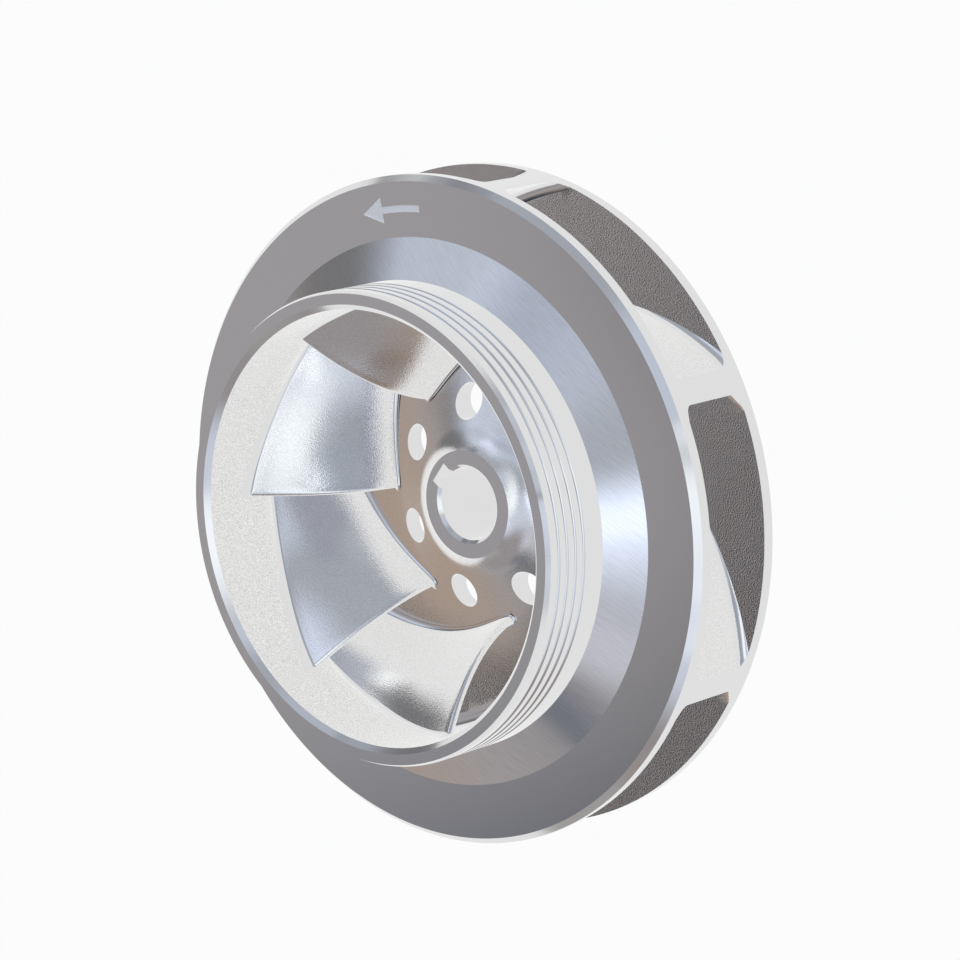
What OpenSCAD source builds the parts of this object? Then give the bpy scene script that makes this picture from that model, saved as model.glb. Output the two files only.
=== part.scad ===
// Closed pump impeller, cast in one piece and turned where it runs or seats.
// The shaft axis is Z. The eye looks up, and the part stands on its rear ring at z = 0.

/* [Rim] */
// Outside diameter of both shrouds and of the vane ends
outer_d = 218; // [206:1:240]
// Clear width of the outlet between the shrouds
outlet_w = 26.7; // [20:0.1:32]
// Thickness of the back shroud at the rim
back_t = 4.1; // [3:0.1:7]
// Thickness of the front shroud behind its flat face
front_t = 5.9; // [4:0.1:9]
// Chamfer on the front edge of the rim
rim_chamfer = 2; // [0.5:0.1:3]

/* [Eye and neck] */
// Diameter of the eye, where the water enters
eye_d = 140.5; // [130:0.5:146]
// Diameter of the neck, which runs in the casing's wear ring
neck_d = 152.5; // [150:0.5:158]
// Length of the neck in front of the flat shroud face
neck_len = 32.2; // [26:0.1:44]
// Diameter of the foot of the cone between shroud face and neck
cone_d = 178.5; // [168:0.5:190]
// Height of that cone
cone_h = 6; // [3:0.5:9]
// Radius of the turn from the eye into the passages
turn_r = 15.3; // [12:0.1:18]
// Chamfer inside the mouth of the eye
mouth_chamfer = 1.7; // [0.5:0.1:2.5]
// Length of the lead-in at the end of the neck
lead_len = 1.7; // [0.5:0.1:3]
// Depth of the lead-in at the end of the neck
lead_depth = 0.8; // [0.3:0.1:1.5]

/* [Neck grooves] */
// Number of sealing grooves round the neck
groove_n = 4; // [1:1:4]
// Distance from one groove to the next
groove_pitch = 3.9; // [2.5:0.1:4.5]
// Width of a groove, which has a round bottom
groove_w = 1.6; // [0.8:0.1:2]
// Depth of a groove
groove_depth = 0.65; // [0.3:0.05:1]
// Distance of the first groove from the end of the neck
groove_start = 5.4; // [3.5:0.1:7]

/* [Hub] */
// Diameter of the shaft bore
bore_d = 24; // [18:0.5:27]
// Width of the keyway
key_w = 8; // [5:0.5:9]
// Depth of the keyway beyond the bore
key_depth = 3.3; // [2:0.1:4]
// Chamfer at both ends of the bore
bore_chamfer = 1.1; // [0.5:0.1:1.5]
// Diameter of the boss in the eye
boss_d = 35.7; // [34:0.1:42]
// Height of the boss face above the rear face of the back shroud
boss_h = 20.1; // [18:0.1:26]
// Height of the turned edge round the boss face
boss_edge = 0.2; // [0.1:0.1:1]
// Radius of the blend between that edge and the hub cone
boss_blend = 20; // [4:1:30]
// Slope of the hub cone in degrees
hub_angle = 20.8; // [14:0.1:24]
// Diameter where the hub cone would meet the flat floor
hub_cone_d = 108.4; // [96:0.1:120]
// Radius of the blend between hub cone and floor
floor_blend = 36; // [20:1:50]
// Diameter of the hub behind the back shroud
rear_hub_d = 44; // [38:0.5:50]
// Distance of the rear hub face from the end of the rear ring
rear_hub_gap = 2; // [0.5:0.1:5]

/* [Balance holes] */
// Diameter of a balance hole
hole_d = 11.8; // [6:0.1:13]
// Diameter of the circle that the balance holes lie on
hole_circle_d = 65.6; // [60:0.1:70]
// Angle from a vane's leading edge to the nearest hole in degrees
hole_lag = 29; // [20:0.5:38]

/* [Rear ring] */
// Diameter of the rear wear ring
ring_d = 135; // [130:0.5:142]
// Wall of the rear wear ring
ring_wall = 7; // [4:0.5:8]
// Length of the rear wear ring behind the back shroud
ring_len = 14; // [8:0.5:20]
// Diameter where the dished rear face starts
dish_d = 113; // [100:0.5:115]
// Depth of the dish at the rear hub
dish_depth = 7; // [3:0.5:9]

/* [Vanes] */
// Number of vanes, and of balance holes
vane_n = 7; // [5:1:8]
// Thickness of a vane at the hub
vane_t = 4.1; // [3:0.1:5.5]
// Thickness of a vane at the front shroud
shroud_t = 3.2; // [2.6:0.1:5.5]
// Thickness of a vane at its leading edge
nose_t = 2.4; // [1.6:0.1:3]
// Angle that a vane wraps from leading edge to rim in degrees
wrap = 104; // [85:1:115]
// Angle from the keyway to the leading edge of the first vane in degrees
vane_phase = -14.5; // [-25:0.5:10]
// Radius of the leading edge at the hub
edge_hub_r = 39; // [36:0.1:44]
// Height of the leading edge at the shroud above the flat front face
edge_rise = 12.9; // [8:0.1:16]
// How far the leading edge bows in towards the axis
edge_bow = 10; // [4:0.5:14]
// How fast the vane opens out along the hub
hub_opening = 1.57; // [1.3:0.01:1.8]
// Share of the shroud path that the vane covers evenly
shroud_even = 0.74; // [0.6:0.01:0.85]
// How fast it opens out over the rest
shroud_opening = 3.5; // [2.5:0.1:4.5]
// Fillet between the vanes and the front shroud, and between their leading edges and the hub
root_fillet = 2.8; // [1.5:0.1:3.5]
// Fillet that it grows to between the vanes and the back shroud at the rim
hub_fillet = 4.2; // [1.5:0.1:5]

/* [Hidden] */
$fn = 96;
arc_steps = 8;
metal = [0.74, 0.75, 0.77];

// Radii of the driving diameters
rim_r = outer_d / 2;
eye_r = eye_d / 2;
neck_r = neck_d / 2;
cone_r = cone_d / 2;
bore_r = bore_d / 2;
boss_r = boss_d / 2;
hub_cone_r = hub_cone_d / 2;
rear_hub_r = rear_hub_d / 2;
ring_r = ring_d / 2;
ring_in_r = ring_r - ring_wall;
dish_r = dish_d / 2;

// Heights above the end of the rear ring
back_z = ring_len;
floor_z0 = back_z + back_t;
roof_z = floor_z0 + outlet_w;
face_z = roof_z + front_t;
neck_z = face_z + neck_len;
boss_z = back_z + boss_h;
rear_hub_z = rear_hub_gap;

// Stock that the castings carry at the rim until they are turned
stock = 3;
cut = 1;

// The hub cone and its blend into the flat floor
knee_run = floor_blend * tan(hub_angle / 2);
blend_z = floor_z0 + floor_blend;
blend_r = hub_cone_r + knee_run;
function floor_z(r) =
    r >= blend_r ? floor_z0
    : r >= hub_cone_r - knee_run * cos(hub_angle)
        ? blend_z - sqrt(floor_blend * floor_blend - (blend_r - r) * (blend_r - r))
        : floor_z0 + (hub_cone_r - r) * tan(hub_angle);
floor_points = [for (i = [0:arc_steps])
    let (a = hub_angle * i / arc_steps)
        [blend_r - floor_blend * sin(a), blend_z - floor_blend * cos(a)]];

// The blend round the boss is tangent to the hub cone. It ends at the turned edge, or upright below it
boss_rise = max(boss_z - boss_edge - floor_z(boss_r), 0.01) * cos(hub_angle);
boss_reach = sqrt(boss_rise * (2 * boss_blend - boss_rise)) - boss_rise * tan(hub_angle);
boss_blend_r = boss_r + min(boss_blend, boss_reach * cos(hub_angle) + boss_blend * sin(hub_angle));
boss_blend_z = floor_z(boss_blend_r) + boss_blend / cos(hub_angle);
boss_lean = asin((boss_blend_r - boss_r) / boss_blend);
boss_points = [for (i = [0:arc_steps])
    let (a = hub_angle + (boss_lean - hub_angle) * i / arc_steps)
        [boss_blend_r - boss_blend * sin(a), boss_blend_z - boss_blend * cos(a)]];

// The turn inside the front shroud, from the flat roof up to the wall of the eye
turn_centre = [eye_r + turn_r, roof_z + turn_r];
turn_points = [for (i = [0:arc_steps])
    let (a = 90 * i / arc_steps)
        [turn_centre[0] - turn_r * sin(a), turn_centre[1] - turn_r * cos(a)]];

// Outline of the hub, the back shroud and the rear ring
module back_outline() {
    polygon(concat(
        [[0, rear_hub_z], [rear_hub_r, rear_hub_z], [rear_hub_r, back_z + dish_depth],
         [dish_r, back_z], [ring_in_r, back_z], [ring_in_r, 0], [ring_r, 0], [ring_r, back_z],
         [rim_r + stock, back_z], [rim_r + stock, floor_z0]],
        floor_points,
        boss_points,
        [[boss_r, boss_z], [0, boss_z]]
    ));
}

// Outline of the front shroud and the neck
module front_outline() {
    polygon(concat(
        [[rim_r + stock, roof_z]],
        turn_points,
        [[eye_r, neck_z - mouth_chamfer], [eye_r + mouth_chamfer, neck_z],
         [neck_r - lead_depth, neck_z], [neck_r, neck_z - lead_len],
         [neck_r, face_z + cone_h], [cone_r, face_z],
         [rim_r - rim_chamfer, face_z], [rim_r + stock, face_z - rim_chamfer - stock]]
    ));
}

// Where a vane meets the hub at a share f of its length: radius and height
function hub_point(f) =
    let (r = edge_hub_r + (rim_r - edge_hub_r) * pow(f, hub_opening)) [r, floor_z(r)];

// Where it meets the front shroud, measured along the eye wall, the turn and the roof
eye_run = face_z + edge_rise - turn_centre[1];
turn_run = turn_r * PI / 2;
roof_run = rim_r - turn_centre[0];
shroud_run = eye_run + turn_run + roof_run;
function shroud_at(run) =
    run < eye_run ? [eye_r, turn_centre[1] + eye_run - run]
    : run < eye_run + turn_run
        ? let (a = 90 * (run - eye_run) / turn_run)
            [turn_centre[0] - turn_r * cos(a), turn_centre[1] - turn_r * sin(a)]
        : [turn_centre[0] + run - eye_run - turn_run, roof_z];
function shroud_point(f) =
    shroud_at(shroud_run * (shroud_even * f + (1 - shroud_even) * pow(f, shroud_opening)));

// The vane's hollow face: a bowed line in each plane through the axis, from hub to shroud
function bow(f) = edge_bow * pow(max(1 - f, 0), 2);
function section_point(f, s) =
    let (a = hub_point(f), b = shroud_point(f), m = (a + b) / 2 + bow(f) * [-1, 0.25])
        a * (1 - s) * (1 - s) + m * 2 * s * (1 - s) + b * s * s;
function span(f) = norm(shroud_point(f) - hub_point(f));
function face_point(f, s) =
    let (p = section_point(f, s), a = vane_phase - wrap * f) [p[0] * cos(a), p[0] * sin(a), p[1]];
function unit(v) = v / norm(v);
step = 0.01;
function along(f, s) = unit(face_point(f + step, s) - face_point(max(f - step, 0), s));
function across(f, s) = unit(face_point(f, s + step) - face_point(f, s - step));
function normal(f, s) = unit(cross(across(f, s), along(f, s)));

// Thickness along the vane and up it
function thickness(f, s) =
    let (t = vane_t + (shroud_t - vane_t) * s) t - (t - nose_t) * pow(max(1 - f, 0), 6);

// Root fillets: radius along the hub, and how far a fillet of radius r stands out at a height above the wall
function hub_root(f) = root_fillet + (hub_fillet - root_fillet) * min(f, 1);
sink = 1.3;
toe = 0.25;
function flare(h, r) =
    h >= r ? 0
    : h >= toe ? r - sqrt(r * r - pow(r - h, 2))
    : flare(toe, r) + (toe - h) * 2;
function root_row(k, r) = [-sink, toe, r * 0.35, r][k];
root_rows = 4;
mid_rows = 4;
vane_rows = 2 * root_rows + mid_rows;
function row_s(j, f) =
    let (l = span(f), low = hub_root(f) / l, high = 1 - root_fillet / l)
        j < root_rows ? root_row(j, hub_root(f)) / l
        : j < root_rows + mid_rows ? low + (high - low) * (j - root_rows + 1) / (mid_rows + 1)
        : 1 - root_row(vane_rows - 1 - j, root_fillet) / l;
function row_flare(j, f) =
    j < root_rows ? flare(root_row(j, hub_root(f)), hub_root(f))
    : j < root_rows + mid_rows ? 0
    : flare(root_row(vane_rows - 1 - j, root_fillet), root_fillet);

// One vane as a closed body: loops round its section, stacked from hub to shroud
stations = 20;
nose_steps = 4;
overrun = 1 + 2 / rim_r;
function station(i) = overrun * i / stations;
function loop(j) = concat(
    [for (i = [stations:-1:0])
        let (f = station(i), s = row_s(j, f)) face_point(f, s) - normal(f, s) * row_flare(j, f)],
    [for (k = [1:nose_steps - 1])
        let (s = row_s(j, 0), n = normal(0, s), a = 180 * k / nose_steps, r = nose_t / 2 + row_flare(j, 0))
            face_point(0, s) + n * (nose_t / 2 - r * cos(a)) - along(0, s) * r * sin(a)],
    [for (i = [0:stations])
        let (f = station(i), s = row_s(j, f))
            face_point(f, s) + normal(f, s) * (thickness(f, s) + row_flare(j, f))]
);
loop_n = 2 * (stations + 1) + nose_steps - 1;
function side_faces() = [for (j = [0:vane_rows - 2]) for (i = [0:loop_n - 1]) for (half = [0, 1])
    let (a = j * loop_n + i, b = j * loop_n + (i + 1) % loop_n, c = a + loop_n, d = b + loop_n)
        half == 0 ? [a, b, c] : [b, d, c]];
// An end cap pairs the points of the two faces, from the rim in to the nose
cap_pairs = floor((loop_n - 1) / 2);
function cap_faces(base, flip) = [for (i = [0:cap_pairs - 1]) for (half = [0, 1])
    let (a = base + i, b = base + i + 1, c = base + loop_n - 1 - i, d = base + loop_n - 2 - i)
        if (!(half == 1 && b == d)) let (t = half == 0 ? [a, b, c] : [b, d, c]) flip ? t : [t[0], t[2], t[1]]];

module vane() {
    polyhedron(
        points = [for (j = [0:vane_rows - 1]) each loop(j)],
        faces = concat(side_faces(), cap_faces(0, false), cap_faces((vane_rows - 1) * loop_n, true)),
        convexity = 6
    );
}

module vanes() {
    for (i = [0:vane_n - 1]) rotate([0, 0, i * 360 / vane_n]) vane();
}

// What is turned off the rim, which leaves shrouds and vanes flush
module rim_cut() {
    rotate_extrude() translate([rim_r, back_z - cut])
        square([vane_t + 5 * hub_fillet + stock, face_z - back_z + 2 * cut]);
}

module neck_grooves() {
    rotate_extrude() for (i = [0:groove_n - 1]) translate([neck_r, neck_z - groove_start - i * groove_pitch])
        polygon(concat(
            [[cut, groove_w / 2], [cut, -groove_w / 2]],
            [for (u = [-1:0.5:1]) [-groove_depth * (1 - u * u), u * groove_w / 2]]
        ));
}

module bore_cut() {
    translate([0, 0, rear_hub_z - cut]) cylinder(h = boss_z - rear_hub_z + 2 * cut, r = bore_r);
    translate([0, -key_w / 2, rear_hub_z - cut])
        cube([bore_r + key_depth, key_w, boss_z - rear_hub_z + 2 * cut]);
    translate([0, 0, boss_z - bore_chamfer])
        cylinder(h = 2 * bore_chamfer, r1 = bore_r, r2 = bore_r + 2 * bore_chamfer);
    translate([0, 0, rear_hub_z - bore_chamfer])
        cylinder(h = 2 * bore_chamfer, r1 = bore_r + 2 * bore_chamfer, r2 = bore_r);
}

module balance_holes() {
    for (i = [0:vane_n - 1]) rotate([0, 0, vane_phase - hole_lag + i * 360 / vane_n])
        translate([hole_circle_d / 2, 0, back_z]) cylinder(h = boss_h + cut, d = hole_d);
}

module impeller() {
    color(metal) difference() {
        union() {
            rotate_extrude() back_outline();
            rotate_extrude() front_outline();
            vanes();
        }
        rim_cut();
        neck_grooves();
        bore_cut();
        balance_holes();
    }
}

impeller();
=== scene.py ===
import logging
import math
from dataclasses import dataclass
from enum import IntEnum

import bpy
import numpy as np
from mathutils import Matrix, Vector


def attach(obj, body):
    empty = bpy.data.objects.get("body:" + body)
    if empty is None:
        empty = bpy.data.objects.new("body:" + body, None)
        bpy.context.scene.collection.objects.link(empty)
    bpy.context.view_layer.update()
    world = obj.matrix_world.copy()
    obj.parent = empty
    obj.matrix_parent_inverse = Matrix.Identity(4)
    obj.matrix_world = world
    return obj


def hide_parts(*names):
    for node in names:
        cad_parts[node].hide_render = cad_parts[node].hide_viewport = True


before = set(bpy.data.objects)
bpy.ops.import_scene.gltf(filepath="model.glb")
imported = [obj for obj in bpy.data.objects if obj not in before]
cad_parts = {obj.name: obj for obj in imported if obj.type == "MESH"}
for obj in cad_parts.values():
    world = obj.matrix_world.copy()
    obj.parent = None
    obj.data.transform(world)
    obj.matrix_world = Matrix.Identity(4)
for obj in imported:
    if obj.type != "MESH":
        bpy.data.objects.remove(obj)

log = logging.getLogger("impeller")

MM = 0.001
NODE = "impeller"
BODY = "root"
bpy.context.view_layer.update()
# Two points of an outline that are nearer than this, in mm, are one point
SAME_POINT = 1e-6
# Edges that turn by more than this angle, in degrees, are sharp
SHARP_ANGLE = 20


class Surface(IntEnum):
    """The kinds of surface on the casting, in the order of its material slots."""

    CAST = 0
    ROOT = 1
    FACE = 2
    BEVEL = 3
    CONE = 4
    NECK = 5
    RIM = 6
    GROOVE = 7
    BORE = 8
    HOLE = 9
    REAR = 10
    MARK = 11
    FLOOR = 12
    WALL = 13


Point = tuple[float, float]


@dataclass(frozen=True)
class Run:
    """A stretch of a turned outline with one kind of surface, as (radius, height) points in mm."""

    surface: Surface
    points: list[Point]


def arc(centre: Point, radius: float, start: float, end: float, steps: int) -> list[Point]:
    """Points of an arc in the (radius, height) plane.

    Args:
        centre: Centre of the arc in mm.
        radius: Radius of the arc in mm.
        start: First angle in degrees, from the radial direction towards +Z.
        end: Last angle in degrees.
        steps: Number of chords.

    Returns:
        The points from start to end, both included.
    """
    angles = np.radians(np.linspace(start, end, steps + 1))
    return [(centre[0] + radius * math.cos(a), centre[1] + radius * math.sin(a)) for a in angles]


def mesh_object(name: str, points: np.ndarray, faces: list[tuple[int, ...]],
                kinds: list[int]) -> bpy.types.Object:
    """Makes an object from points in mm, faces and the surface kind of each face.

    Args:
        name: Name of the object and its mesh.
        points: Array of points in mm.
        faces: Corner indices of each face.
        kinds: Surface kind of each face.

    Returns:
        The linked object, with smooth faces.
    """
    mesh = bpy.data.meshes.new(name)
    mesh.from_pydata([tuple(p) for p in np.asarray(points) * MM], [], faces)
    for kind in Surface:
        mesh.materials.append(bpy.data.materials[kind.name.lower()])
    mesh.polygons.foreach_set("material_index", kinds)
    mesh.polygons.foreach_set("use_smooth", [True] * len(faces))
    mesh.update()
    obj = bpy.data.objects.new(name, mesh)
    bpy.context.scene.collection.objects.link(obj)
    return obj


@dataclass
class Lathe:
    """Turns closed outlines about the shaft axis."""

    segments: int = 288

    def turn(self, name: str, runs: list[Run]) -> bpy.types.Object:
        """Revolves a closed outline that runs anticlockwise in the (radius, height) plane.

        Args:
            name: Name of the new object.
            runs: Stretches of the outline, each starting where the one before it ended.

        Returns:
            The turned ring as an object.
        """
        outline: list[Point] = []
        kinds: list[int] = []
        for run in runs:
            for point in run.points:
                if outline and math.dist(outline[-1], point) < SAME_POINT:
                    continue
                if outline:
                    kinds.append(run.surface)
                outline.append(point)
        if math.dist(outline[0], outline[-1]) < SAME_POINT:
            outline.pop()
        else:
            kinds.append(runs[-1].surface)
        rows = len(outline)
        profile = np.array(outline)
        angles = np.linspace(0, 2 * math.pi, self.segments, endpoint=False)
        points = np.stack([
            np.outer(np.cos(angles), profile[:, 0]),
            np.outer(np.sin(angles), profile[:, 0]),
            np.tile(profile[:, 1], (self.segments, 1)),
        ], axis=-1).reshape(-1, 3)
        faces, face_kinds = [], []
        for i in range(self.segments):
            here, there = i * rows, (i + 1) % self.segments * rows
            for j in range(rows):
                k = (j + 1) % rows
                faces.append((here + j, there + j, there + k, here + k))
                face_kinds.append(kinds[j])
        return mesh_object(name, points, faces, face_kinds)


@dataclass
class Sizes:
    """Driving sizes of the casting in mm and degrees.

    They are those of the solid, apart from floor_blend, which makes the hub floor run out more softly. The
    stock is what the rim cut takes off, and least_rise keeps the boss blend from vanishing.
    """

    outer_d: float = 218
    outlet_w: float = 26.7
    back_t: float = 4.1
    front_t: float = 5.9
    rim_chamfer: float = 2
    eye_d: float = 140.5
    neck_d: float = 152.5
    neck_len: float = 32.2
    cone_d: float = 178.5
    cone_h: float = 6
    turn_r: float = 15.3
    mouth_chamfer: float = 1.7
    lead_len: float = 1.7
    lead_depth: float = 0.8
    bore_d: float = 24
    key_w: float = 8
    key_depth: float = 3.3
    bore_chamfer: float = 1.1
    boss_d: float = 35.7
    boss_h: float = 20.1
    boss_blend: float = 20
    hub_angle: float = 20.8
    hub_cone_d: float = 108.4
    floor_blend: float = 100
    rear_hub_d: float = 44
    rear_hub_gap: float = 2
    ring_d: float = 135
    ring_wall: float = 7
    ring_len: float = 14
    dish_d: float = 113
    dish_depth: float = 7
    stock: float = 3
    least_rise: float = 0.01

    @property
    def rim_r(self) -> float:
        """Outer radius."""
        return self.outer_d / 2

    @property
    def eye_r(self) -> float:
        """Radius of the eye."""
        return self.eye_d / 2

    @property
    def neck_r(self) -> float:
        """Radius of the neck."""
        return self.neck_d / 2

    @property
    def floor_z0(self) -> float:
        """Height of the flat floor."""
        return self.ring_len + self.back_t

    @property
    def roof_z(self) -> float:
        """Height of the flat roof of the passages."""
        return self.floor_z0 + self.outlet_w

    @property
    def face_z(self) -> float:
        """Height of the flat front face."""
        return self.roof_z + self.front_t

    @property
    def neck_z(self) -> float:
        """Height of the end of the neck."""
        return self.face_z + self.neck_len

    @property
    def boss_z(self) -> float:
        """Height of the boss face."""
        return self.ring_len + self.boss_h

    @property
    def turn_centre(self) -> Point:
        """Centre of the turn from the eye into the passages."""
        return self.eye_r + self.turn_r, self.roof_z + self.turn_r

    @property
    def boss_centre(self) -> Point:
        """Centre of the blend from the hub cone up to the boss.

        Returns:
            Radius and height of the centre in mm. The blend ends at the boss's edge, or at its wall where
            that is high.
        """
        slope, boss, blend = math.radians(self.hub_angle), self.boss_d / 2, self.boss_blend
        rise = max(self.boss_z - float(self.floor_z(np.array(boss))), self.least_rise) * math.cos(slope)
        reach = math.sqrt(2 * blend * rise - rise**2) - rise * math.tan(slope)
        r = min(boss + blend, boss + reach * math.cos(slope) + blend * math.sin(slope))
        return r, float(self.floor_z(np.array(r))) + blend / math.cos(slope)

    @property
    def knee(self) -> Point:
        """Centre of the blend between hub cone and floor."""
        run = self.floor_blend * math.tan(math.radians(self.hub_angle / 2))
        return self.hub_cone_d / 2 + run, self.floor_z0 + self.floor_blend

    def floor_z(self, r: np.ndarray) -> np.ndarray:
        """Height of the hub floor.

        Args:
            r: Radii in mm.

        Returns:
            The floor's height in mm at each radius.
        """
        slope = math.radians(self.hub_angle)
        blend_r, blend_z = self.knee
        inner = blend_r - self.floor_blend * math.sin(slope)
        cone = self.floor_z0 + (self.hub_cone_d / 2 - r) * math.tan(slope)
        drop = np.clip(self.floor_blend**2 - (blend_r - r) ** 2, 0, None)
        return np.where(r >= blend_r, self.floor_z0, np.where(r >= inner, blend_z - np.sqrt(drop), cone))


@dataclass
class Shrouds:
    """The two shrouds with hub, rear ring and neck, turned as closed rings.

    The flat floor has extra points at near_rim and far_rim inside the rim, and the roof at near_rim, which
    keep their shading even.
    """

    sizes: Sizes
    lathe: Lathe
    groove_n: int = 4
    groove_pitch: float = 3.9
    groove_w: float = 1.6
    groove_depth: float = 0.65
    groove_start: float = 5.4
    groove_steps: int = 8
    steps: int = 24
    wall_rows: int = 9
    edge: float = 0.25
    near_rim: float = 6
    far_rim: float = 24

    def back(self) -> bpy.types.Object:
        """Turns the hub, the back shroud and the rear ring.

        Returns:
            One closed ring, with stock outside the rim.
        """
        s = self.sizes
        bore, chamfer, boss = s.bore_d / 2, s.bore_chamfer, s.boss_d / 2
        ring, ring_in, hub, dish = s.ring_d / 2, s.ring_d / 2 - s.ring_wall, s.rear_hub_d / 2, s.dish_d / 2
        lean = math.degrees(math.asin((s.boss_centre[0] - boss) / s.boss_blend))
        e = self.edge
        return self.lathe.turn("back_shroud", [
            Run(Surface.BORE, [(bore, s.boss_z - chamfer), (bore, s.rear_hub_gap + chamfer),
                               (bore + chamfer, s.rear_hub_gap)]),
            Run(Surface.FACE, [(bore + chamfer, s.rear_hub_gap), (hub - e, s.rear_hub_gap)]),
            Run(Surface.REAR, [(hub - e, s.rear_hub_gap), (hub, s.rear_hub_gap + e),
                               (hub, s.ring_len + s.dish_depth), (dish, s.ring_len), (ring_in, s.ring_len),
                               (ring_in, e), (ring_in + e, 0)]),
            Run(Surface.FACE, [(ring_in + e, 0), (ring - e, 0)]),
            Run(Surface.NECK, [(ring - e, 0), (ring, e), (ring, s.ring_len)]),
            Run(Surface.FACE, [(ring, s.ring_len), (s.rim_r + s.stock, s.ring_len)]),
            Run(Surface.RIM, [(s.rim_r + s.stock, s.ring_len), (s.rim_r + s.stock, s.floor_z0)]),
            Run(Surface.FLOOR, [(s.rim_r + s.stock, s.floor_z0), (s.rim_r - self.near_rim, s.floor_z0),
                                (s.rim_r - self.far_rim, s.floor_z0)]
                + arc(s.knee, s.floor_blend, -90, -90 - s.hub_angle, self.steps)
                + arc(s.boss_centre, s.boss_blend, -90 - s.hub_angle, -90 - lean, self.steps)),
            Run(Surface.FACE, [(boss, s.boss_z), (bore + chamfer, s.boss_z)]),
            Run(Surface.BEVEL, [(bore + chamfer, s.boss_z), (bore, s.boss_z - chamfer)]),
        ])

    def front(self) -> bpy.types.Object:
        """Turns the front shroud and the neck with its grooves.

        Returns:
            One closed ring, with stock outside the rim.
        """
        s = self.sizes
        cone_z, lead_z = s.face_z + s.cone_h, s.neck_z - s.lead_len
        grooves: list[Run] = []
        for i in reversed(range(self.groove_n)):
            z, half = s.neck_z - self.groove_start - i * self.groove_pitch, self.groove_w / 2
            grooves.append(Run(Surface.NECK, [(s.neck_r, z - half)]))
            grooves.append(Run(Surface.GROOVE, [(s.neck_r - self.groove_depth * (1 - u**2), z + u * half)
                                                for u in np.linspace(-1, 1, self.groove_steps + 1)]))
        wall = np.linspace(s.neck_z - s.mouth_chamfer, s.turn_centre[1], self.wall_rows)
        return self.lathe.turn("front_shroud", [
            Run(Surface.RIM, [(s.rim_r + s.stock, s.roof_z),
                              (s.rim_r + s.stock, s.face_z - s.rim_chamfer - s.stock)]),
            Run(Surface.BEVEL, [(s.rim_r - s.rim_chamfer, s.face_z)]),
            Run(Surface.FACE, [(s.cone_d / 2, s.face_z)]),
            Run(Surface.CONE, [(s.neck_r, cone_z)]),
            *grooves,
            Run(Surface.NECK, [(s.neck_r, lead_z)]),
            Run(Surface.BEVEL, [(s.neck_r - s.lead_depth, s.neck_z)]),
            Run(Surface.FACE, [(s.eye_r + s.mouth_chamfer, s.neck_z)]),
            Run(Surface.BEVEL, [(s.eye_r, s.neck_z - s.mouth_chamfer)]),
            Run(Surface.WALL, [(s.eye_r, z) for z in wall]
                + arc(s.turn_centre, s.turn_r, 180, 270, self.steps)
                + [(s.rim_r - self.near_rim, s.roof_z)]),
        ])


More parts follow.
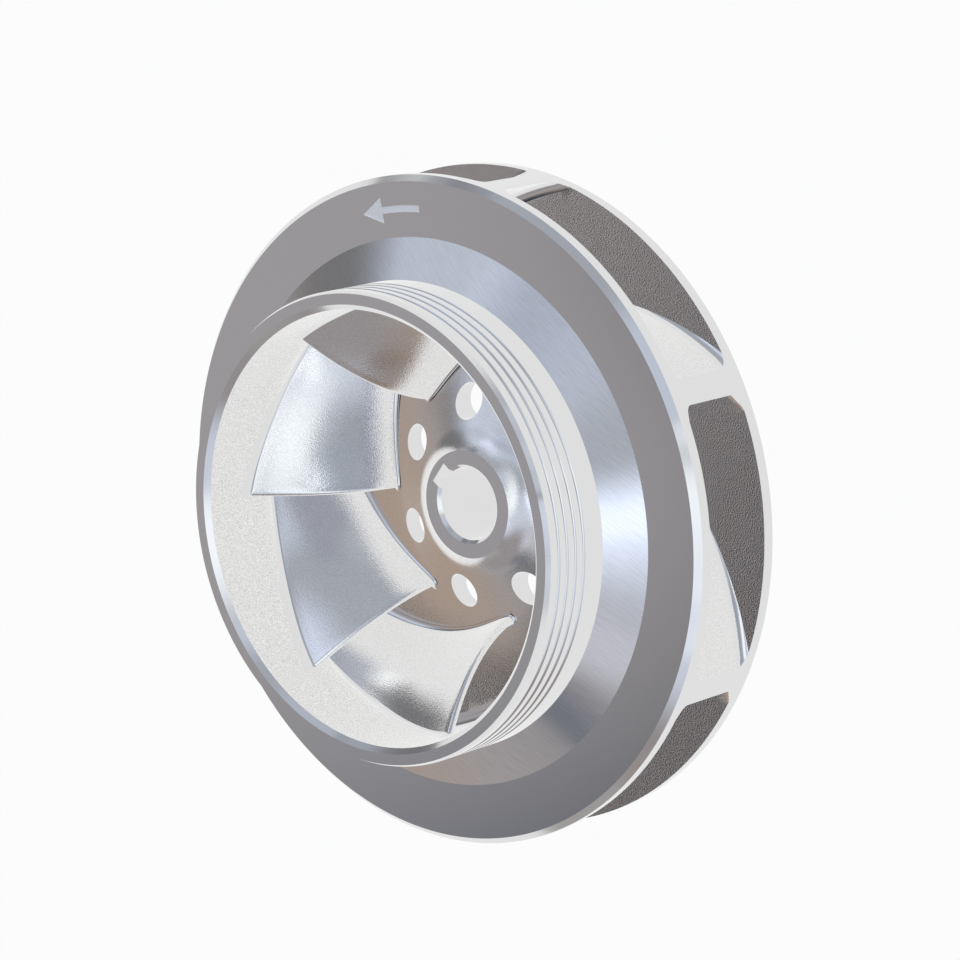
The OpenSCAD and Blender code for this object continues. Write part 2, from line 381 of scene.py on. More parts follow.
@dataclass
class Vanes:
    """The vanes between the shrouds, with rounded leading edges and root fillets.

    The fillets grow from eye_fillet at the leading edge to root_fillet and hub_fillet at the rim. The sink is
    how far a vane reaches into the shrouds. It ends past the rim, at the overrun as a share of its length.
    """

    sizes: Sizes
    count: int = 7
    thick: float = 4.1
    shroud_t: float = 3.2
    nose_t: float = 2.4
    wrap: float = 104
    phase: float = -14.5
    edge_hub_r: float = 39
    edge_rise: float = 12.9
    edge_bow: float = 10
    hub_opening: float = 1.57
    shroud_even: float = 0.74
    shroud_opening: float = 3.5
    eye_fillet: float = 1.2
    root_fillet: float = 2.8
    hub_fillet: float = 4.2
    stations: int = 56
    nose_steps: int = 12
    fillet_steps: int = 8
    mid_rows: int = 16
    sink: float = 1.3
    sink_flare: float = 1.6
    fillet_from: float = 6
    bow_rise: float = 0.25
    nose_power: int = 6
    probe: float = 0.004
    overrun: float = 1.02

    def hub_point(self, f: np.ndarray) -> np.ndarray:
        """Radius and height where the vane meets the hub, at each share f of its length."""
        r = self.edge_hub_r + (self.sizes.rim_r - self.edge_hub_r) * np.clip(f, 0, None) ** self.hub_opening
        return np.stack([r, self.sizes.floor_z(r)], axis=-1)

    def shroud_point(self, f: np.ndarray) -> np.ndarray:
        """Where the vane meets the front shroud.

        Args:
            f: Shares of the vane's length.

        Returns:
            Radius and height in mm at each share.
        """
        s = self.sizes
        centre_r, centre_z = s.turn_centre
        wall = s.face_z + self.edge_rise - centre_z
        turn = s.turn_r * math.pi / 2
        total = wall + turn + s.rim_r - centre_r
        f = np.clip(f, 0, None)
        run = total * (self.shroud_even * f + (1 - self.shroud_even) * f**self.shroud_opening)
        a = (run - wall) / s.turn_r
        roof_r = centre_r + run - wall - turn
        r = np.where(run < wall, s.eye_r,
                     np.where(run < wall + turn, centre_r - s.turn_r * np.cos(a), roof_r))
        z = np.where(run < wall, centre_z + wall - run,
                     np.where(run < wall + turn, centre_z - s.turn_r * np.sin(a), s.roof_z))
        return np.stack([r, z], axis=-1)

    def face_point(self, f: np.ndarray, s: np.ndarray) -> np.ndarray:
        """Point of the vane's hollow face.

        Args:
            f: Share of the vane's length, 0 at the leading edge and 1 at the rim.
            s: Share of its height, 0 at the hub and 1 at the front shroud.

        Returns:
            Points in mm, with one more axis than f and s.
        """
        a, b = self.hub_point(f), self.shroud_point(f)
        bow = self.edge_bow * np.clip(1 - f, 0, None) ** 2
        middle = (a + b) / 2 + bow[..., None] * np.array([-1, self.bow_rise])
        t = s[..., None]
        p = a * (1 - t) ** 2 + middle * 2 * t * (1 - t) + b * t**2
        angle = np.radians(self.phase - self.wrap * f)
        return np.stack([p[..., 0] * np.cos(angle), p[..., 0] * np.sin(angle), p[..., 1]], axis=-1)

    def directions(self, f: np.ndarray, s: np.ndarray) -> tuple[np.ndarray, np.ndarray]:
        """Unit vectors along the vane and square to its hollow face, into the metal.

        Args:
            f: Share of the vane's length.
            s: Share of its height.

        Returns:
            The vectors along the vane and the vectors square to it.
        """
        step = self.probe
        along = self.face_point(f + step, s) - self.face_point(np.clip(f - step, 0, None), s)
        across = self.face_point(f, s + step) - self.face_point(f, s - step)
        normal = np.cross(across, along)
        return (along / np.linalg.norm(along, axis=-1, keepdims=True),
                normal / np.linalg.norm(normal, axis=-1, keepdims=True))

    def section(self, f: np.ndarray) -> tuple[np.ndarray, np.ndarray]:
        """Height shares and flares of all rows, from hub to shroud, for each station.

        Args:
            f: Stations along the vane.

        Returns:
            Height shares and how far the root fillets stand out, with one row per section row.
        """
        span = np.linalg.norm(self.shroud_point(f) - self.hub_point(f), axis=-1)
        angles = np.radians(np.linspace(self.fillet_from, 90, self.fillet_steps))[:, None]
        shares, flares = [], []
        for rim_fillet in (self.hub_fillet, self.root_fillet):
            radius = self.eye_fillet + (rim_fillet - self.eye_fillet) * np.clip(f, 0, 1) ** 2
            flare = radius * (1 - np.sin(angles))
            shares.append(np.vstack([np.full_like(f, -self.sink), radius * (1 - np.cos(angles))]) / span)
            flares.append(np.vstack([flare[:1] + self.sink_flare * self.sink, flare]))
        middle = np.linspace(0, 1, self.mid_rows + 2)[1:-1, None]
        low, high = shares[0][-1], 1 - shares[1][-1]
        return (np.vstack([shares[0], low + (high - low) * middle, 1 - shares[1][::-1]]),
                np.vstack([flares[0], 0 * middle * f, flares[1][::-1]]))

    def vane(self, index: int) -> bpy.types.Object:
        """Makes one vane as a closed body that reaches into both shrouds and past the rim.

        Args:
            index: Number of the vane, from 0.

        Returns:
            The vane as an object.
        """
        f = self.overrun * np.linspace(0, 1, self.stations + 1)
        s, flare = self.section(f)
        grid = np.broadcast_to(f, s.shape)
        thick = self.thick + (self.shroud_t - self.thick) * s
        thick = thick + (self.nose_t - thick) * np.clip(1 - grid, 0, None) ** self.nose_power
        face = self.face_point(grid, s)
        along, normal = self.directions(grid, s)
        hollow = face - normal * flare[..., None]
        round_side = face + normal * (thick + flare)[..., None]
        half = self.nose_t / 2
        angles = math.pi * np.arange(1, self.nose_steps) / self.nose_steps
        reach = half + flare[:, :1, None]
        nose = (face[:, :1] + normal[:, :1] * (half - reach * np.cos(angles)[None, :, None])
                - along[:, :1] * reach * np.sin(angles)[None, :, None])
        loops = np.concatenate([hollow[:, ::-1], nose, round_side], axis=1)
        rows, around = loops.shape[:2]
        turn = math.radians(index * 360 / self.count)
        spin = np.array([[math.cos(turn), math.sin(turn), 0],
                         [-math.sin(turn), math.cos(turn), 0],
                         [0, 0, 1]])
        points = loops.reshape(-1, 3) @ spin
        faces, kinds = [], []
        for j in range(rows - 1):
            in_fillet = j <= self.fillet_steps - 1 or j >= rows - 1 - self.fillet_steps
            for i in range(around):
                k = (i + 1) % around
                faces.append((j * around + i, (j + 1) * around + i, (j + 1) * around + k, j * around + k))
                kinds.append(Surface.ROOT if in_fillet else Surface.CAST)
        for j, flip in ((0, False), (rows - 1, True)):
            base = j * around
            for i in range((around - 1) // 2):
                quad = [base + i, base + i + 1, base + around - 2 - i, base + around - 1 - i]
                quad = list(dict.fromkeys(quad))
                if len(quad) > 2:
                    faces.append(tuple(quad[::-1] if flip else quad))
                    kinds.append(Surface.CAST)
        return mesh_object(f"vane_{index + 1}", points, faces, kinds)


@dataclass
class Machining:
    """What is cut from the casting: the rim, the keyway and the balance holes.

    The clearances are how far each cutting body stands out of the metal that it cuts.
    """

    sizes: Sizes
    lathe: Lathe
    vanes: Vanes
    hole_d: float = 11.8
    hole_circle_d: float = 65.6
    hole_lag: float = 29
    hole_steps: int = 48
    clear: float = 1
    rim_clear: float = 24
    key_inner: float = 2
    hole_clear: float = 2

    def rim(self) -> bpy.types.Object:
        """The ring that is turned off the outside.

        Returns:
            The cutting body.
        """
        s = self.sizes
        low, high, out = s.ring_len - self.clear, s.face_z + self.clear, s.rim_r + self.rim_clear
        return self.lathe.turn("rim_cut", [
            Run(Surface.RIM, [(s.rim_r, high), (s.rim_r, low), (out, low), (out, high), (s.rim_r, high)]),
        ])

    def keyway(self) -> bpy.types.Object:
        """The keyway towards +X, from inside the bore to its own depth.

        Returns:
            The cutting body.
        """
        s = self.sizes
        x0, x1, y = self.key_inner, s.bore_d / 2 + s.key_depth, s.key_w / 2
        z0, z1 = s.rear_hub_gap - self.clear, s.boss_z + self.clear
        points = [(x, sy * y, z) for z in (z0, z1) for sy in (-1, 1) for x in (x0, x1)]
        faces = [(0, 2, 3, 1), (4, 5, 7, 6), (0, 1, 5, 4), (2, 6, 7, 3), (0, 4, 6, 2), (1, 3, 7, 5)]
        return mesh_object("keyway_cut", np.array(points), faces, [Surface.BORE] * len(faces))

    def holes(self) -> list[bpy.types.Object]:
        """The balance holes, one behind each leading edge.

        Returns:
            One cutting body for each hole.
        """
        s = self.sizes
        out = []
        turn = 2 * math.pi * np.arange(self.hole_steps) / self.hole_steps
        for i in range(self.vanes.count):
            a = math.radians(self.vanes.phase - self.hole_lag + i * 360 / self.vanes.count)
            x = self.hole_circle_d / 2 * math.cos(a) + self.hole_d / 2 * np.cos(turn)
            y = self.hole_circle_d / 2 * math.sin(a) + self.hole_d / 2 * np.sin(turn)
            low = np.stack([x, y, np.full_like(x, s.ring_len - self.hole_clear)], axis=-1)
            high = low + np.array([0, 0, s.boss_h + 2 * self.hole_clear])
            n = self.hole_steps
            faces = [(j, (j + 1) % n, n + (j + 1) % n, n + j) for j in range(n)]
            faces += [tuple(reversed(range(n))), tuple(range(n, 2 * n))]
            out.append(mesh_object(f"hole_cut_{i + 1}", np.concatenate([low, high]), faces,
                                   [Surface.HOLE] * len(faces)))
        return out


def combine(target: bpy.types.Object, others: list[bpy.types.Object], operation: str) -> None:
    """Joins or cuts solids with exact booleans and removes the tools.

    Args:
        target: Object that is changed.
        others: Objects that are added to it or cut from it.
        operation: UNION or DIFFERENCE.
    """
    for other in others:
        modifier = target.modifiers.new("boolean", "BOOLEAN")
        modifier.operation = operation
        modifier.solver = "MANIFOLD"
        modifier.object = other
    bpy.context.view_layer.update()
    evaluated = target.evaluated_get(bpy.context.evaluated_depsgraph_get())
    mesh = bpy.data.meshes.new_from_object(evaluated)
    target.modifiers.clear()
    old, target.data = target.data, mesh
    bpy.data.meshes.remove(old)
    for other in others:
        bpy.data.objects.remove(other)


@dataclass
class RotationArrow:
    """The arrow engraved in the front face that shows which way the impeller turns, in mm and degrees."""

    sizes: Sizes
    radius: float = 98.3
    start: float = -51.4
    neck: float = -42.0
    tip: float = -37.0
    width: float = 2.2
    head_width: float = 8.4
    depth: float = 0.45
    clear: float = 1
    steps: int = 24

    def outline(self) -> list[Point]:
        """Corners of the arrow in polar form, anticlockwise seen from the front.

        Returns:
            Radius in mm and angle in degrees of each corner.
        """
        angles = np.linspace(self.start, self.neck, self.steps + 1)
        half, head = self.width / 2, self.head_width / 2
        return ([(self.radius - half, a) for a in angles[::-1]] + [(self.radius + half, a) for a in angles]
                + [(self.radius + head, self.neck), (self.radius, self.tip), (self.radius - head, self.neck)])

    def cut(self) -> bpy.types.Object:
        """The body that is cut from the front face.

        Returns:
            The cutting body.
        """
        flat = [(r * math.cos(math.radians(a)), r * math.sin(math.radians(a))) for r, a in self.outline()]
        n, s = len(flat), self.sizes
        points = [(x, y, z) for z in (s.face_z - self.depth, s.face_z + self.clear) for x, y in flat]
        faces = [(j, (j + 1) % n, n + (j + 1) % n, n + j) for j in range(n)]
        faces += [tuple(reversed(range(n))), tuple(range(n, 2 * n))]
        return mesh_object("arrow_cut", np.array(points), faces, [Surface.MARK] * len(faces))


@dataclass(frozen=True)
class Tree:
    """Adds and joins nodes in one node tree."""

    tree: bpy.types.NodeTree

    def node(self, kind: str, inputs: dict | None = None, **options) -> bpy.types.Node:
        """Adds a node.

        Args:
            kind: Type name of the node.
            inputs: A socket or a value for each input, by name or number.
            options: Other settings of the node.

        Returns:
            The new node.
        """
        node = self.tree.nodes.new(kind)
        for name, value in options.items():
            setattr(node, name, value)
        for key, value in (inputs or {}).items():
            if isinstance(value, bpy.types.NodeSocket):
                self.tree.links.new(value, node.inputs[key])
            else:
                node.inputs[key].default_value = value
        return node

    def math(self, operation: str, *values: bpy.types.NodeSocket | float) -> bpy.types.NodeSocket:
        """Result of a Math node."""
        return self.node("ShaderNodeMath", dict(enumerate(values)), operation=operation).outputs[0]

    def dot(self, a: bpy.types.NodeSocket, b: bpy.types.NodeSocket) -> bpy.types.NodeSocket:
        """Dot product of two vectors."""
        return self.node("ShaderNodeVectorMath", {0: a, 1: b}, operation="DOT_PRODUCT").outputs["Value"]

    def radius(self, place: bpy.types.NodeSocket) -> bpy.types.NodeSocket:
        """Distance from the shaft's axis."""
        x, y, _ = self.node("ShaderNodeSeparateXYZ", {0: place}).outputs
        return self.math("SQRT", self.math("ADD", self.math("MULTIPLY", x, x), self.math("MULTIPLY", y, y)))

    def noise(self, place: bpy.types.NodeSocket, scale: bpy.types.NodeSocket | float) -> bpy.types.NodeSocket:
        """Grey value of a noise texture."""
        node = self.node("ShaderNodeTexNoise", {"Vector": place, "Scale": scale, "Detail": 1.0})
        return node.outputs["Fac"]


def node_group(name: str, inputs: list[tuple],
               outputs: list[tuple]) -> tuple[Tree, bpy.types.Node, bpy.types.Node]:
    """Makes an empty shader node group.

    Args:
        name: Name of the group.
        inputs: Name, type and default value of each input.
        outputs: Name and type of each output.

    Returns:
        Its tree, its input node and its output node.
    """
    tree = bpy.data.node_groups.new(name, "ShaderNodeTree")
    for label, kind, value in inputs:
        socket = tree.interface.new_socket(label, in_out="INPUT", socket_type=f"NodeSocket{kind}")
        socket.default_value = value
    for label, kind in outputs:
        tree.interface.new_socket(label, in_out="OUTPUT", socket_type=f"NodeSocket{kind}")
    return Tree(tree), tree.nodes.new("NodeGroupInput"), tree.nodes.new("NodeGroupOutput")


# Noise values of the deepest pit and of the highest ground between the pits
PIT_RANGE = (0.35, 0.65)


def blast_group() -> bpy.types.NodeTree:
    """Fine dents of a blasted casting: a height in metres and how dark each pit is, below zero between them.

    The dents and pits grow from their Least share at the radius Start to full strength at End, both in mm.

    Returns:
        The node group.
    """
    g, start, end = node_group("blasted casting",
                               [("Grain", "Float", 0.5), ("Depth", "Float", 0.01), ("Start", "Float", -1.0),
                                ("End", "Float", 0.0), ("Least", "Float", 0.0)],
                               [("Height", "Float"), ("Pits", "Float")])
    place = g.node("ShaderNodeTexCoord").outputs["Object"]
    fine = g.noise(place, g.math("DIVIDE", 1 / MM, start.outputs["Grain"]))
    share = g.node("ShaderNodeMapRange", {
        "Value": g.math("DIVIDE", g.radius(place), MM), "From Min": start.outputs["Start"],
        "From Max": start.outputs["End"], "To Min": start.outputs["Least"]},
        interpolation_type="SMOOTHSTEP").outputs[0]
    dents = g.math("MULTIPLY", g.math("MULTIPLY", fine, start.outputs["Depth"]), share)
    g.tree.links.new(g.math("MULTIPLY", dents, MM), end.inputs["Height"])
    pits = g.node("ShaderNodeMapRange", {"Value": fine, "From Min": PIT_RANGE[1], "From Max": PIT_RANGE[0],
                                         "To Min": -0.5, "To Max": 0.5}).outputs[0]
    g.tree.links.new(g.math("MULTIPLY", pits, share), end.inputs["Pits"])
    return g.tree


def brush_group() -> bpy.types.NodeTree:
    """Straight brush marks along the X axis: a height in metres and a grey value of their streaks.

    Returns:
        The node group.
    """
    g, start, end = node_group("brushed marks",
                               [("Pitch", "Float", 0.4), ("Length", "Float", 8.0), ("Depth", "Float", 0.0)],
                               [("Height", "Float"), ("Streaks", "Float")])
    x, y, _ = g.node("ShaderNodeSeparateXYZ", {0: g.node("ShaderNodeTexCoord").outputs["Object"]}).outputs
    spot = g.node("ShaderNodeCombineXYZ", {
        "X": g.math("DIVIDE", x, g.math("MULTIPLY", start.outputs["Length"], MM)),
        "Y": g.math("DIVIDE", y, g.math("MULTIPLY", start.outputs["Pitch"], MM)),
    }).outputs[0]
    value = g.noise(spot, 1.0)
    height = g.math("MULTIPLY", g.math("MULTIPLY", value, start.outputs["Depth"]), MM)
    g.tree.links.new(height, end.inputs["Height"])
    g.tree.links.new(value, end.inputs["Streaks"])
    return g.tree


@dataclass(frozen=True)
class Finish:
    """How one kind of surface looks, with lengths and depths in mm.

    A blasted surface has a grain, with dents in its height and pits in its colour. A brushed one has a pitch
    and a length, with marks in its height and streaks in its colour. Without either, the surface is even.
    """

    colour: tuple[float, float, float]
    roughness: float
    metallic: float = 1.0
    grain: float = 0.0
    dents: float = 0.0
    pits: float = 0.0
    fade: tuple[float, float] = (-1.0, 0.0)
    least: float = 0.0
    pitch: float = 0.0
    length: float = 0.0
    marks: float = 0.0
    streaks: float = 0.0

    def effect(self, t: Tree, group: bpy.types.NodeTree, values: dict[str, float]) -> bpy.types.Node:
        """Places a shared group in the material with this finish's own values.

        Args:
            t: Node tree of the material.
            group: The shared node group.
            values: Value of each of its inputs.

        Returns:
            The group's node.
        """
        node = t.node("ShaderNodeGroup", node_tree=group)
        for label, value in values.items():
            node.inputs[label].default_value = value
        return node

    def material(self, name: str, blast: bpy.types.NodeTree, brush: bpy.types.NodeTree) -> bpy.types.Material:
        """The material of this finish.

        Args:
            name: Name of the material.
            blast: Group of the blasted casting.
            brush: Group of the brushed marks.

        Returns:
            The new material.
        """
        material = bpy.data.materials.new(name)
        material.use_nodes = True
        t = Tree(material.node_tree)
        shader = material.node_tree.nodes["Principled BSDF"]
        shader.inputs["Base Color"].default_value = (*self.colour, 1)
        shader.inputs["Metallic"].default_value = self.metallic
        shader.inputs["Roughness"].default_value = self.roughness
        if self.grain:
            node = self.effect(t, blast, {"Grain": self.grain, "Depth": self.dents, "Start": self.fade[0],
                                          "End": self.fade[1], "Least": self.least})
            shade = t.math("SUBTRACT", 1.0, t.math("MULTIPLY", node.outputs["Pits"], self.pits))
        elif self.pitch:
            node = self.effect(t, brush, {"Pitch": self.pitch, "Length": self.length, "Depth": self.marks})
            streak = t.math("MULTIPLY", t.math("SUBTRACT", node.outputs["Streaks"], 0.5), self.streaks)
            shade = t.math("ADD", 1.0, streak)
        else:
            return material
        tint = t.node("ShaderNodeVectorMath", {0: self.colour, "Scale": shade}, operation="SCALE")
        bump = t.node("ShaderNodeBump", {"Strength": 1.0, "Distance": 1.0, "Height": node.outputs["Height"]})
        t.tree.links.new(tint.outputs[0], shader.inputs["Base Color"])
        t.tree.links.new(bump.outputs[0], shader.inputs["Normal"])
        return material


TURNED = (0.76, 0.76, 0.76)
BLASTED = (0.778, 0.774, 0.769)
FINISHES = {
    Surface.CAST: Finish(BLASTED, 0.12, grain=0.45, dents=0.035, pits=0.16),
    Surface.ROOT: Finish(TURNED, 0.12),
    Surface.FACE: Finish(TURNED, 0.12),
    Surface.BEVEL: Finish(TURNED, 0.12),
    Surface.CONE: Finish(TURNED, 0.14, pitch=0.45, length=7.0, marks=0.0015, streaks=0.26),
    Surface.NECK: Finish(TURNED, 0.12),
    Surface.RIM: Finish(TURNED, 0.12),
    Surface.GROOVE: Finish(TURNED, 0.12),
    Surface.BORE: Finish(TURNED, 0.1),
    Surface.HOLE: Finish(TURNED, 0.1),
    Surface.REAR: Finish(TURNED, 0.16),
    Surface.MARK: Finish((1.0, 1.0, 1.0), 0.4, metallic=0.0),
    Surface.FLOOR: Finish(BLASTED, 0.14, grain=0.42, dents=0.1, pits=0.3, fade=(38.0, 68.0), least=0.3),
    Surface.WALL: Finish(BLASTED, 0.12, grain=0.45, dents=0.06, pits=0.3),
}


@dataclass(frozen=True)
class Panel:
    """A soft-edged patch of light or shade round the object, in degrees from the studio's axes."""

    azimuth: float
    elevation: float
    roll: float
    half: tuple[float, float]
    soft: tuple[float, float]
    colour: tuple[float, float, float]


# The studio, with later panels over earlier ones. Places, sizes and colours were fitted by least squares, so
# that metal reflects the tones that it has in the photograph. The floor hides what lies below the horizon.
PANELS: tuple[Panel, ...] = (
    Panel(150.2, -35.4, -80.2, (27.7, 58.0), (32.7, 2.0), (0.607, 0.649, 0.749)),
    Panel(-22.4, 41.7, 75.4, (14.2, 26.1), (22.5, 1.9), (1.319, 1.339, 1.350)),
    Panel(-43.0, -43.5, -32.2, (49.4, 55.2), (17.8, 9.1), (1.850, 1.952, 1.970)),
    Panel(-65.3, -53.2, -34.7, (53.6, 63.6), (40.1, 16.6), (0.311, 0.290, 0.295)),
    Panel(-70.0, 3.7, -48.1, (31.1, 35.4), (47.1, 1.5), (0.178, 0.178, 0.186)),
    Panel(-109.9, 20.6, -10.5, (22.3, 28.6), (26.4, 24.0), (0.810, 0.893, 1.086)),
    Panel(168.9, 28.4, -39.1, (9.9, 26.4), (1.5, 15.1), (0.542, 0.594, 0.692)),
    Panel(-73.3, -25.5, -10.2, (53.5, 33.0), (6.7, 8.7), (0.357, 0.346, 0.360)),
    Panel(179.0, 4.1, -36.1, (9.8, 27.3), (6.5, 54.6), (0.993, 1.044, 1.091)),
    Panel(132.6, 31.6, 26.9, (12.8, 19.6), (2.1, 10.0), (0.579, 0.620, 0.703)),
    Panel(159.7, 56.2, -23.5, (12.6, 20.8), (2.1, 8.3), (0.340, 0.357, 0.415)),
    Panel(-137.9, -30.0, -54.5, (7.0, 11.8), (9.1, 7.1), (0.571, 0.577, 0.644)),
    Panel(-127.0, -43.7, -63.7, (6.9, 2.9), (4.2, 5.7), (0.127, 0.151, 0.190)),
    Panel(128.9, -70.7, 9.9, (20.7, 2.9), (1.5, 5.8), (0.194, 0.138, 0.104)),
    Panel(-41.2, 19.0, 43.4, (1.5, 5.6), (1.5, 11.2), (1.483, 1.625, 1.796)),
    Panel(-147.8, -7.7, -48.4, (11.6, 4.4), (6.6, 8.8), (1.120, 1.232, 1.473)),
    Panel(148.5, 10.9, 40.7, (15.8, 10.8), (9.4, 4.2), (0.346, 0.374, 0.425)),
    Panel(-122.1, 25.7, -24.2, (10.2, 13.2), (20.3, 8.7), (0.418, 0.455, 0.545)),
    Panel(131.7, -22.3, -4.5, (1.5, 39.6), (1.5, 2.9), (1.107, 1.205, 1.387)),
    Panel(71.2, 81.6, -83.9, (2.4, 10.5), (2.8, 9.3), (0.903, 0.967, 1.082)),
    Panel(165.9, -27.7, 4.0, (2.7, 9.7), (4.0, 1.5), (1.194, 1.258, 1.321)),
    Panel(-58.2, -25.4, -8.0, (30.9, 25.2), (6.4, 27.2), (0.402, 0.318, 0.264)),
    Panel(130.8, 27.5, 22.1, (1.6, 4.1), (3.2, 5.3), (0.286, 0.435, 0.394)),
    Panel(-119.6, -10.0, -49.9, (13.3, 15.5), (3.1, 6.8), (0.003, 0.003, 0.003)),
    Panel(148.2, 15.1, -4.4, (22.4, 1.5), (9.1, 3.0), (0.360, 0.391, 0.460)),
    Panel(135.6, -4.2, -7.0, (1.5, 35.4), (1.5, 44.4), (0.175, 0.176, 0.221)),
    Panel(145.4, 80.2, -9.1, (8.4, 9.4), (4.1, 8.9), (0.423, 0.451, 0.508)),
    Panel(-99.4, -78.2, 6.1, (13.1, 5.3), (9.1, 6.2), (0.369, 0.355, 0.351)),
    Panel(-95.2, 29.8, 30.0, (10.3, 9.4), (9.9, 3.3), (0.516, 0.555, 0.644)),
    Panel(115.2, -78.6, 21.7, (13.3, 12.7), (25.4, 2.3), (0.344, 0.278, 0.240)),
    Panel(131.3, 2.1, -4.2, (1.5, 13.7), (1.5, 9.1), (0.045, 0.028, 0.030)),
    Panel(-57.9, 59.4, 45.3, (6.4, 15.2), (12.8, 30.4), (0.423, 0.454, 0.521)),
    Panel(-77.1, 52.5, -28.3, (7.3, 3.7), (5.5, 6.2), (0.205, 0.204, 0.217)),
    Panel(171.6, 18.7, -13.9, (1.5, 2.6), (1.5, 1.7), (1.973, 2.000, 2.000)),
    Panel(-113.3, -30.2, -9.8, (9.9, 9.7), (17.5, 9.4), (0.003, 0.003, 0.003)),
    Panel(-105.7, -24.4, -12.9, (7.9, 4.1), (8.5, 6.8), (0.494, 0.222, 0.119)),
    Panel(-106.5, -20.4, -45.0, (10.8, 6.2), (7.3, 9.2), (0.003, 0.003, 0.003)),
    Panel(-93.2, -25.7, 5.1, (8.7, 5.4), (15.5, 10.6), (0.009, 0.090, 0.201)),
    Panel(-92.5, -27.2, 15.2, (8.8, 6.3), (15.0, 11.9), (0.051, 0.042, 0.032)),
    Panel(-89.3, -33.5, -9.5, (7.3, 8.6), (14.5, 16.1), (0.345, 0.305, 0.277)),
)


def panel_group() -> bpy.types.NodeTree:
    """Lays one soft-edged panel over the colour behind it.

    Returns:
        The node group.
    """
    names = ("Centre", "Right", "Up")
    g, start, end = node_group("panel", [("Behind", "Color", (0, 0, 0, 1)),
                                         ("Direction", "Vector", (0, 0, 1)),
                                         *[(name, "Vector", (0, 0, 1)) for name in names],
                                         ("Half Width", "Float", 0.5), ("Half Height", "Float", 0.5),
                                         ("Soft Width", "Float", 0.1), ("Soft Height", "Float", 0.1),
                                         ("Light", "Color", (1, 1, 1, 1))], [("Colour", "Color")])
    way = start.outputs["Direction"]
    x, y, z = (g.dot(way, start.outputs[name]) for name in names)
    masks = []
    for value, side in ((g.math("ARCTAN2", y, x), "Width"), (g.math("ARCSINE", z), "Height")):
        half, soft = start.outputs[f"Half {side}"], g.math("MULTIPLY", start.outputs[f"Soft {side}"], 0.5)
        masks.append(g.node("ShaderNodeMapRange", {
            "Value": g.math("ABSOLUTE", value), "From Min": g.math("SUBTRACT", half, soft),
            "From Max": g.math("ADD", half, soft), "To Min": 1.0, "To Max": 0.0},
            interpolation_type="SMOOTHSTEP").outputs[0])
    mix = g.node("ShaderNodeMix", {"Factor": g.math("MULTIPLY", *masks), "A": start.outputs["Behind"],
                                   "B": start.outputs["Light"]}, data_type="RGBA")
    g.tree.links.new(mix.outputs["Result"], end.inputs["Colour"])
    return g.tree


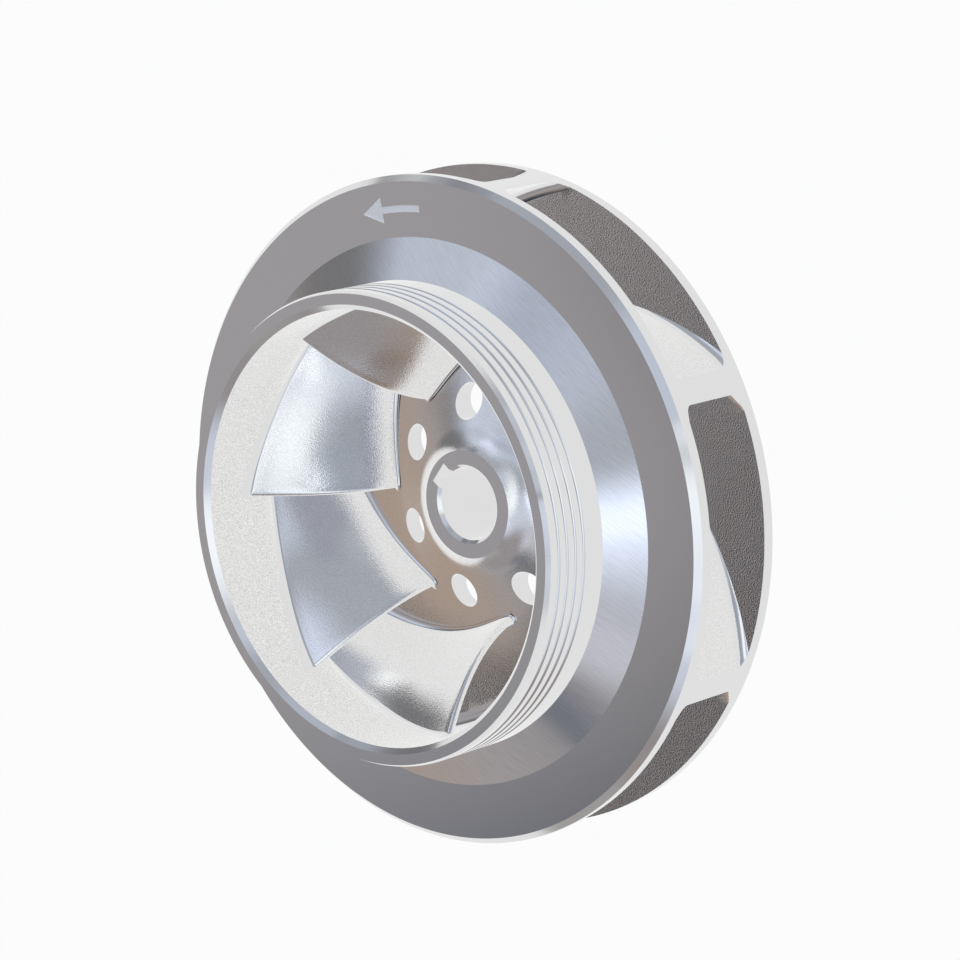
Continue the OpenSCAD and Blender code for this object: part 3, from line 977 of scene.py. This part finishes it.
@dataclass(frozen=True)
class Studio:
    """Camera, floor and the light that the metal reflects.

    Places and sizes are in metres, and the lens, the sensor and the floor's drop in mm.
    """

    lens: float = 142.613
    position: tuple[float, float, float] = (-0.48625, -0.69630, 0.92858)
    right: tuple[float, float, float] = (-0.608594, -0.434262, -0.664101)
    up: tuple[float, float, float] = (0.687293, -0.706759, -0.167691)
    level: float = 1.18
    base: tuple[float, float, float] = (0.381, 0.405, 0.453)
    sensor: float = 36
    clip: float = 0.01
    floor_size: float = 12.0
    floor_drop: float = 0.1
    floor_glow: float = 0.95
    paper: float = 0.92

    def camera(self) -> bpy.types.Object:
        """The camera at the photograph's place and angle.

        Returns:
            The scene's camera.
        """
        right, up = Vector(self.right).normalized(), Vector(self.up)
        back = right.cross(up).normalized()
        up = back.cross(right)
        matrix = Matrix((right, up, back)).transposed().to_4x4()
        matrix.translation = Vector(self.position)
        data = bpy.data.cameras.new("camera")
        data.sensor_width = self.sensor
        data.lens = self.lens
        data.clip_start = self.clip
        obj = bpy.data.objects.new("camera", data)
        obj.matrix_world = matrix
        bpy.context.scene.collection.objects.link(obj)
        bpy.context.scene.camera = obj
        return obj

    def axes(self) -> tuple[Vector, Vector, Vector]:
        """The axes that the panels' angles are measured from.

        Returns:
            Forward, the camera's right, and up, which is square to the shaft. Each is square to the others.
        """
        right = Vector(self.right).normalized()
        up = Vector((0, 0, 1)).cross(right).normalized()
        return up.cross(right), right, up

    def world(self) -> bpy.types.World:
        """The soft panels round the object, the same for every ray.

        Returns:
            The scene's world.
        """
        world = bpy.data.worlds.new("studio")
        world.use_nodes = True
        world.cycles.sampling_method = "NONE"
        bpy.context.scene.world = world
        t = Tree(world.node_tree)
        forward, right, up = self.axes()
        group = panel_group()
        way = t.node("ShaderNodeTexCoord").outputs["Generated"]
        colour = t.node("ShaderNodeRGB").outputs[0]
        colour.default_value = (*self.base, 1)
        for panel in PANELS:
            turn, rise, roll = (math.radians(v) for v in (panel.azimuth, panel.elevation, panel.roll))
            flat = forward * math.cos(turn) + right * math.sin(turn)
            side = right * math.cos(turn) - forward * math.sin(turn)
            centre = flat * math.cos(rise) + up * math.sin(rise)
            top = up * math.cos(rise) - flat * math.sin(rise)
            node = t.node("ShaderNodeGroup", node_tree=group)
            t.tree.links.new(colour, node.inputs["Behind"])
            t.tree.links.new(way, node.inputs["Direction"])
            node.inputs["Centre"].default_value = centre
            node.inputs["Right"].default_value = side * math.cos(roll) + top * math.sin(roll)
            node.inputs["Up"].default_value = top * math.cos(roll) - side * math.sin(roll)
            for i, name in enumerate(("Width", "Height")):
                node.inputs[f"Half {name}"].default_value = math.radians(panel.half[i])
                node.inputs[f"Soft {name}"].default_value = math.radians(panel.soft[i])
            node.inputs["Light"].default_value = (*panel.colour, 1)
            colour = node.outputs["Colour"]
        lights = t.node("ShaderNodeBackground", {"Color": colour, "Strength": self.level})
        t.tree.links.new(lights.outputs[0], t.tree.nodes["World Output"].inputs["Surface"])
        return world

    def floor(self) -> bpy.types.Object:
        """The plain pale floor, which the metal reflects and which keeps a faint shadow of the object.

        Returns:
            The floor.
        """
        h, z = self.floor_size / 2, -self.floor_drop * MM
        mesh = bpy.data.meshes.new("floor")
        mesh.from_pydata([(-h, -h, z), (h, -h, z), (h, h, z), (-h, h, z)], [], [(0, 1, 2, 3)])
        material = bpy.data.materials.new("floor")
        material.use_nodes = True
        t = Tree(material.node_tree)
        paper = t.node("ShaderNodeBsdfDiffuse", {"Color": (self.paper, self.paper, self.paper, 1)})
        white = t.node("ShaderNodeEmission", {"Color": (1, 1, 1, 1), "Strength": 1.0})
        path = t.node("ShaderNodeLightPath")
        seen = t.math("MAXIMUM", path.outputs["Is Camera Ray"],
                      t.math("MAXIMUM", path.outputs["Is Glossy Ray"], path.outputs["Is Transmission Ray"]))
        glow = t.math("MULTIPLY", seen, self.floor_glow)
        mix = t.node("ShaderNodeMixShader", {0: glow, 1: paper.outputs[0], 2: white.outputs[0]})
        t.tree.links.new(mix.outputs[0], t.tree.nodes["Material Output"].inputs["Surface"])
        mesh.materials.append(material)
        obj = bpy.data.objects.new("floor", mesh)
        bpy.context.scene.collection.objects.link(obj)
        return obj


def make_casting() -> bpy.types.Object:
    """Builds the impeller's casting from its shrouds, vanes and machining.

    Returns:
        The casting, which rides the impeller's body and replaces its solid.
    """
    sizes, lathe = Sizes(), Lathe()
    shrouds, vanes = Shrouds(sizes, lathe), Vanes(sizes)
    casting = shrouds.back()
    combine(casting, [shrouds.front(), *[vanes.vane(i) for i in range(vanes.count)]], "UNION")
    machining = Machining(sizes, lathe, vanes)
    combine(casting, [machining.rim(), machining.keyway(), *machining.holes(), RotationArrow(sizes).cut()],
            "DIFFERENCE")
    casting.name = casting.data.name = "impeller_casting"
    casting.data.set_sharp_from_angle(angle=math.radians(SHARP_ANGLE))
    # The metal reflects the studio and the floor, but not itself
    casting.visible_glossy = False
    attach(casting, BODY)
    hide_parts(NODE)
    return casting


def main() -> None:
    """Builds the impeller and its studio, and reports each piece."""
    logging.basicConfig(level=logging.INFO, format="%(message)s")
    blast, brush = blast_group(), brush_group()
    for kind in Surface:
        FINISHES[kind].material(kind.name.lower(), blast, brush)
    casting = make_casting()
    log.info("%s: %d faces, %d triangles", casting.name, len(casting.data.polygons),
             sum(len(p.vertices) - 2 for p in casting.data.polygons))
    studio = Studio()
    studio.camera()
    studio.world()
    floor = studio.floor()
    log.info("%s: %.0f m wide", floor.name, studio.floor_size)
    bpy.context.scene.view_settings.view_transform = "Standard"


if __name__ == "__main__":
    main()
